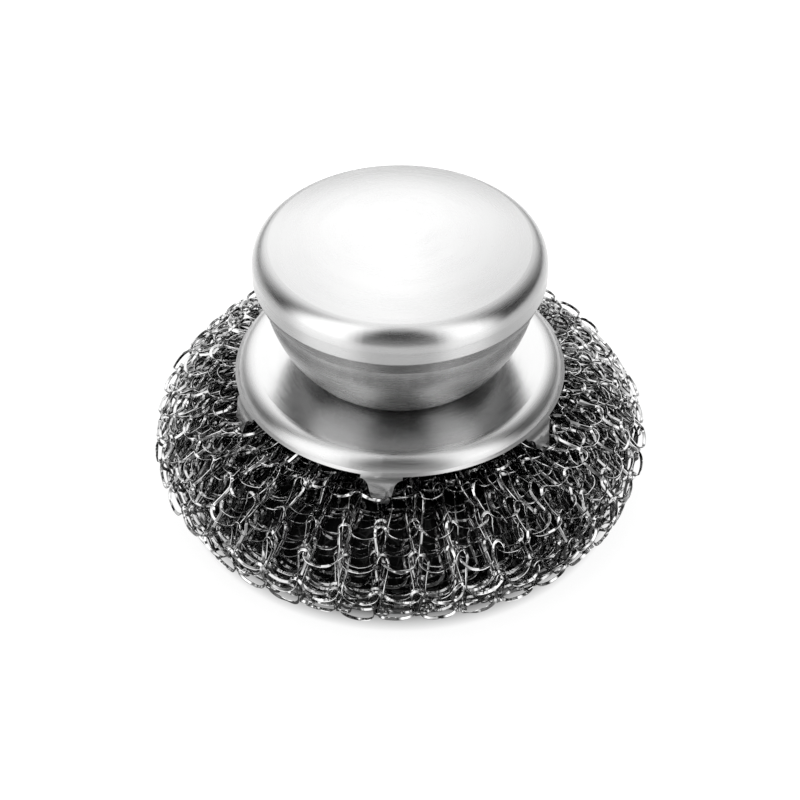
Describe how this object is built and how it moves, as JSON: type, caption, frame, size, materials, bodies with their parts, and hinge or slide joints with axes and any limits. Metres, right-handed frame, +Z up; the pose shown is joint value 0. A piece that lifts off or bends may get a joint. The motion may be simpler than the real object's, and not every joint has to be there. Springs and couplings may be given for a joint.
{
  "type": "pot scrubber",
  "caption": "Hand scrubber for pots: a hollow brushed-steel knob on a clawed steel disc that grips a flat-bottomed bun of rolled, knitted flat steel wire.",
  "frame": {"origin": "centre of the wire ball's flat underside, on the surface that it stands on", "axes": "+Z up along the axis of the knob and the ball, -Y towards the picture's viewer, +X to the right"},
  "size_m": [0.09, 0.09, 0.055],
  "materials": {
    "knob_steel": "stainless sheet with a fine circular brush and polished edges",
    "disc_steel": "stainless sheet with a fine circular brush and bright cut edges",
    "ball_wire": "bright flattened stainless wire, knitted",
    "fastener_steel": "plain stainless fastener"
  },
  "bodies": {
    "root": {"knob_cap": "knob_steel", "knob_cup": "knob_steel", "claw_disc": "disc_steel", "wire_ball": "ball_wire", "knob_nut": "fastener_steel", "clamp_screw": "fastener_steel", "spring_washer": "fastener_steel", "plain_washer": "fastener_steel"}
  },
  "joints": []
}
